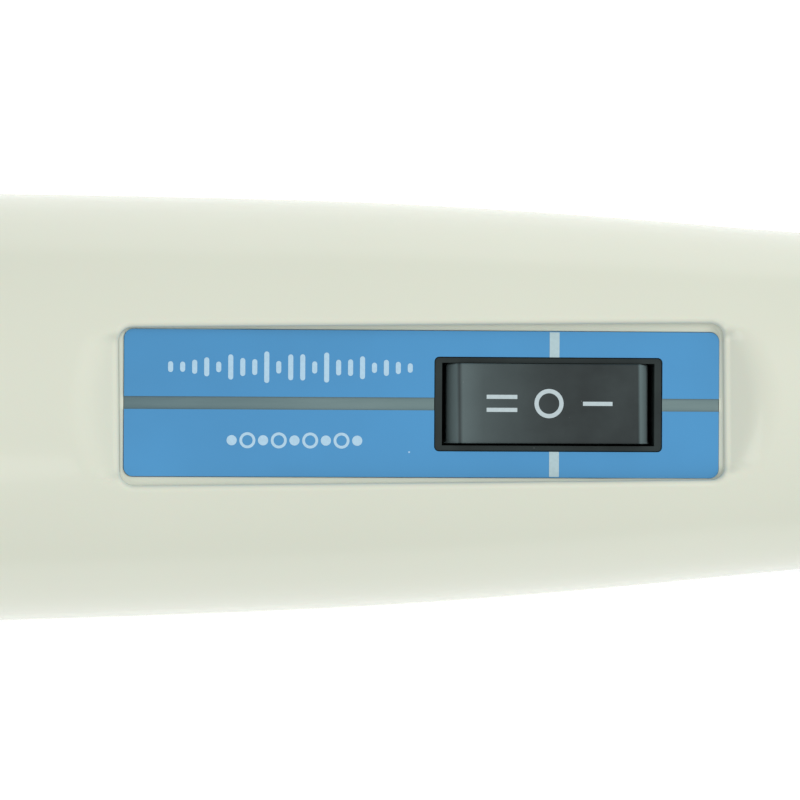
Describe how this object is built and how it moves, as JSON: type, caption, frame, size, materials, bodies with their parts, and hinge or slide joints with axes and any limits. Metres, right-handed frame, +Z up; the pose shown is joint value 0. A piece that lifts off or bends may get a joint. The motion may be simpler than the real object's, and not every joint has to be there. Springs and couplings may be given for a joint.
{
  "type": "handheld wand massager",
  "caption": "Mains wand massager: tapered cream handle with a blue switch plate and rocker, a flexible blue neck and a soft round head.",
  "frame": {"origin": "on the surface the wand lies on, under the middle of its length, on its centre line", "axes": "+X along the wand towards the head, +Y across it, +Z up out of the switch face"},
  "size_m": [0.305, 0.062, 0.062],
  "materials": {
    "housing_plastic": "glossy",
    "plate_grey": "satin",
    "film_blue": "semi gloss",
    "switch_black": "satin",
    "screw_steel": "zinc plated",
    "bare_steel": "ground",
    "bearing_steel": "polished",
    "brass": "satin",
    "copper": "enamelled",
    "magnet": "sintered",
    "carbon": "matte",
    "inner_plastic": "matte",
    "coupling_alloy": "turned",
    "rubber_black": "matte",
    "boot_blue": "satin",
    "collar_white": "semi gloss",
    "cover_soft": "soft matte",
    "board": "solder mask",
    "component": "matte"
  },
  "bodies": {
    "handle": {"front_housing": "housing_plastic", "rear_housing": "housing_plastic", "housing_screws": "screw_steel", "face_plate": "plate_grey", "label_upper": "film_blue", "label_lower": "film_blue", "switch_body": "switch_black", "switch_terminals": "brass", "motor_can": "bare_steel", "motor_end_cap": "inner_plastic", "motor_bushes": "brass", "motor_magnets": "magnet", "carbon_brushes": "carbon", "brush_springs": "bare_steel", "rear_motor_mount": "rubber_black", "front_motor_mount": "rubber_black", "front_bush": "brass", "neck_collar": "collar_white", "cord_gland": "rubber_black", "cord_clamp": "inner_plastic", "clamp_screws": "screw_steel", "circuit_board": "board", "board_screws": "screw_steel", "bridge_rectifier": "component", "filter_capacitor": "component", "dropping_resistor": "component", "filter_choke": "copper"},
    "rocker": {"rocker": "switch_black", "rocker_plunger": "inner_plastic", "plunger_spring": "bare_steel"},
    "lever": {"contact_lever": "brass"},
    "rotor": {"motor_shaft": "bare_steel", "armature_core": "bare_steel", "armature_windings": "copper", "commutator": "copper", "shaft_coupling": "coupling_alloy", "coupling_screws": "screw_steel", "drive_shaft": "bare_steel", "drive_spring": "bare_steel"},
    "neck": {"neck_boot": "boot_blue", "neck_spring": "bare_steel"},
    "head": {"head_hub": "collar_white", "head_cap": "collar_white", "head_screws": "screw_steel", "head_cover": "cover_soft", "bearing_outer_rings": "bearing_steel"},
    "balls": {"bearing_balls": "bearing_steel", "ball_cages": "brass"},
    "eccentric": {"head_shaft": "bare_steel", "eccentric_weight": "bare_steel", "weight_screw": "screw_steel", "shaft_clips": "screw_steel", "bearing_inner_rings": "bearing_steel"}
  },
  "joints": [
    {"name": "rocker_tilt", "type": "hinge", "parent": "handle", "child": "rocker", "pos_m": [0.02899, -0.0002, 0.0469], "axis": [0.0131, 0.9999, -0.0009], "range_deg": [-11, 11], "deforming": ["plunger_spring"]},
    {"name": "lever_rock", "type": "hinge", "parent": "handle", "child": "lever", "pos_m": [0.02866, -0.0002, 0.04191], "axis": [0.0131, 0.9999, -0.0009], "range_deg": [-5.5, 5.5]},
    {"name": "rotor_spin", "type": "hinge", "parent": "handle", "child": "rotor", "pos_m": [-0.055, 0, 0.031], "axis": [1, 0, 0], "continuous": true},
    {"name": "neck_sway", "type": "hinge", "parent": "handle", "child": "neck", "pos_m": [0.0785, 0, 0.031], "axis": [0, 0, 1], "range_deg": [-6, 6], "stiffness_Nm_per_rad": 6, "deforming": ["neck_boot", "neck_spring", "drive_spring"]},
    {"name": "neck_nod", "type": "hinge", "parent": "neck", "child": "head", "pos_m": [0.0875, 0, 0.031], "axis": [0, 1, 0], "range_deg": [-6, 6], "stiffness_Nm_per_rad": 6, "deforming": ["neck_boot", "neck_spring", "drive_spring"]},
    {"name": "eccentric_spin", "type": "hinge", "parent": "head", "child": "eccentric", "pos_m": [0.118, 0, 0.031], "axis": [1, 0, 0], "continuous": true},
    {"name": "ball_orbit", "type": "hinge", "parent": "head", "child": "balls", "pos_m": [0.118, 0, 0.031], "axis": [1, 0, 0], "continuous": true}
  ],
  "couplings": [
    {"joint": "lever_rock", "follows": "rocker_tilt", "ratio": -0.5},
    {"joint": "eccentric_spin", "follows": "rotor_spin", "ratio": 1},
    {"joint": "ball_orbit", "follows": "rotor_spin", "ratio": 0.38}
  ]
}
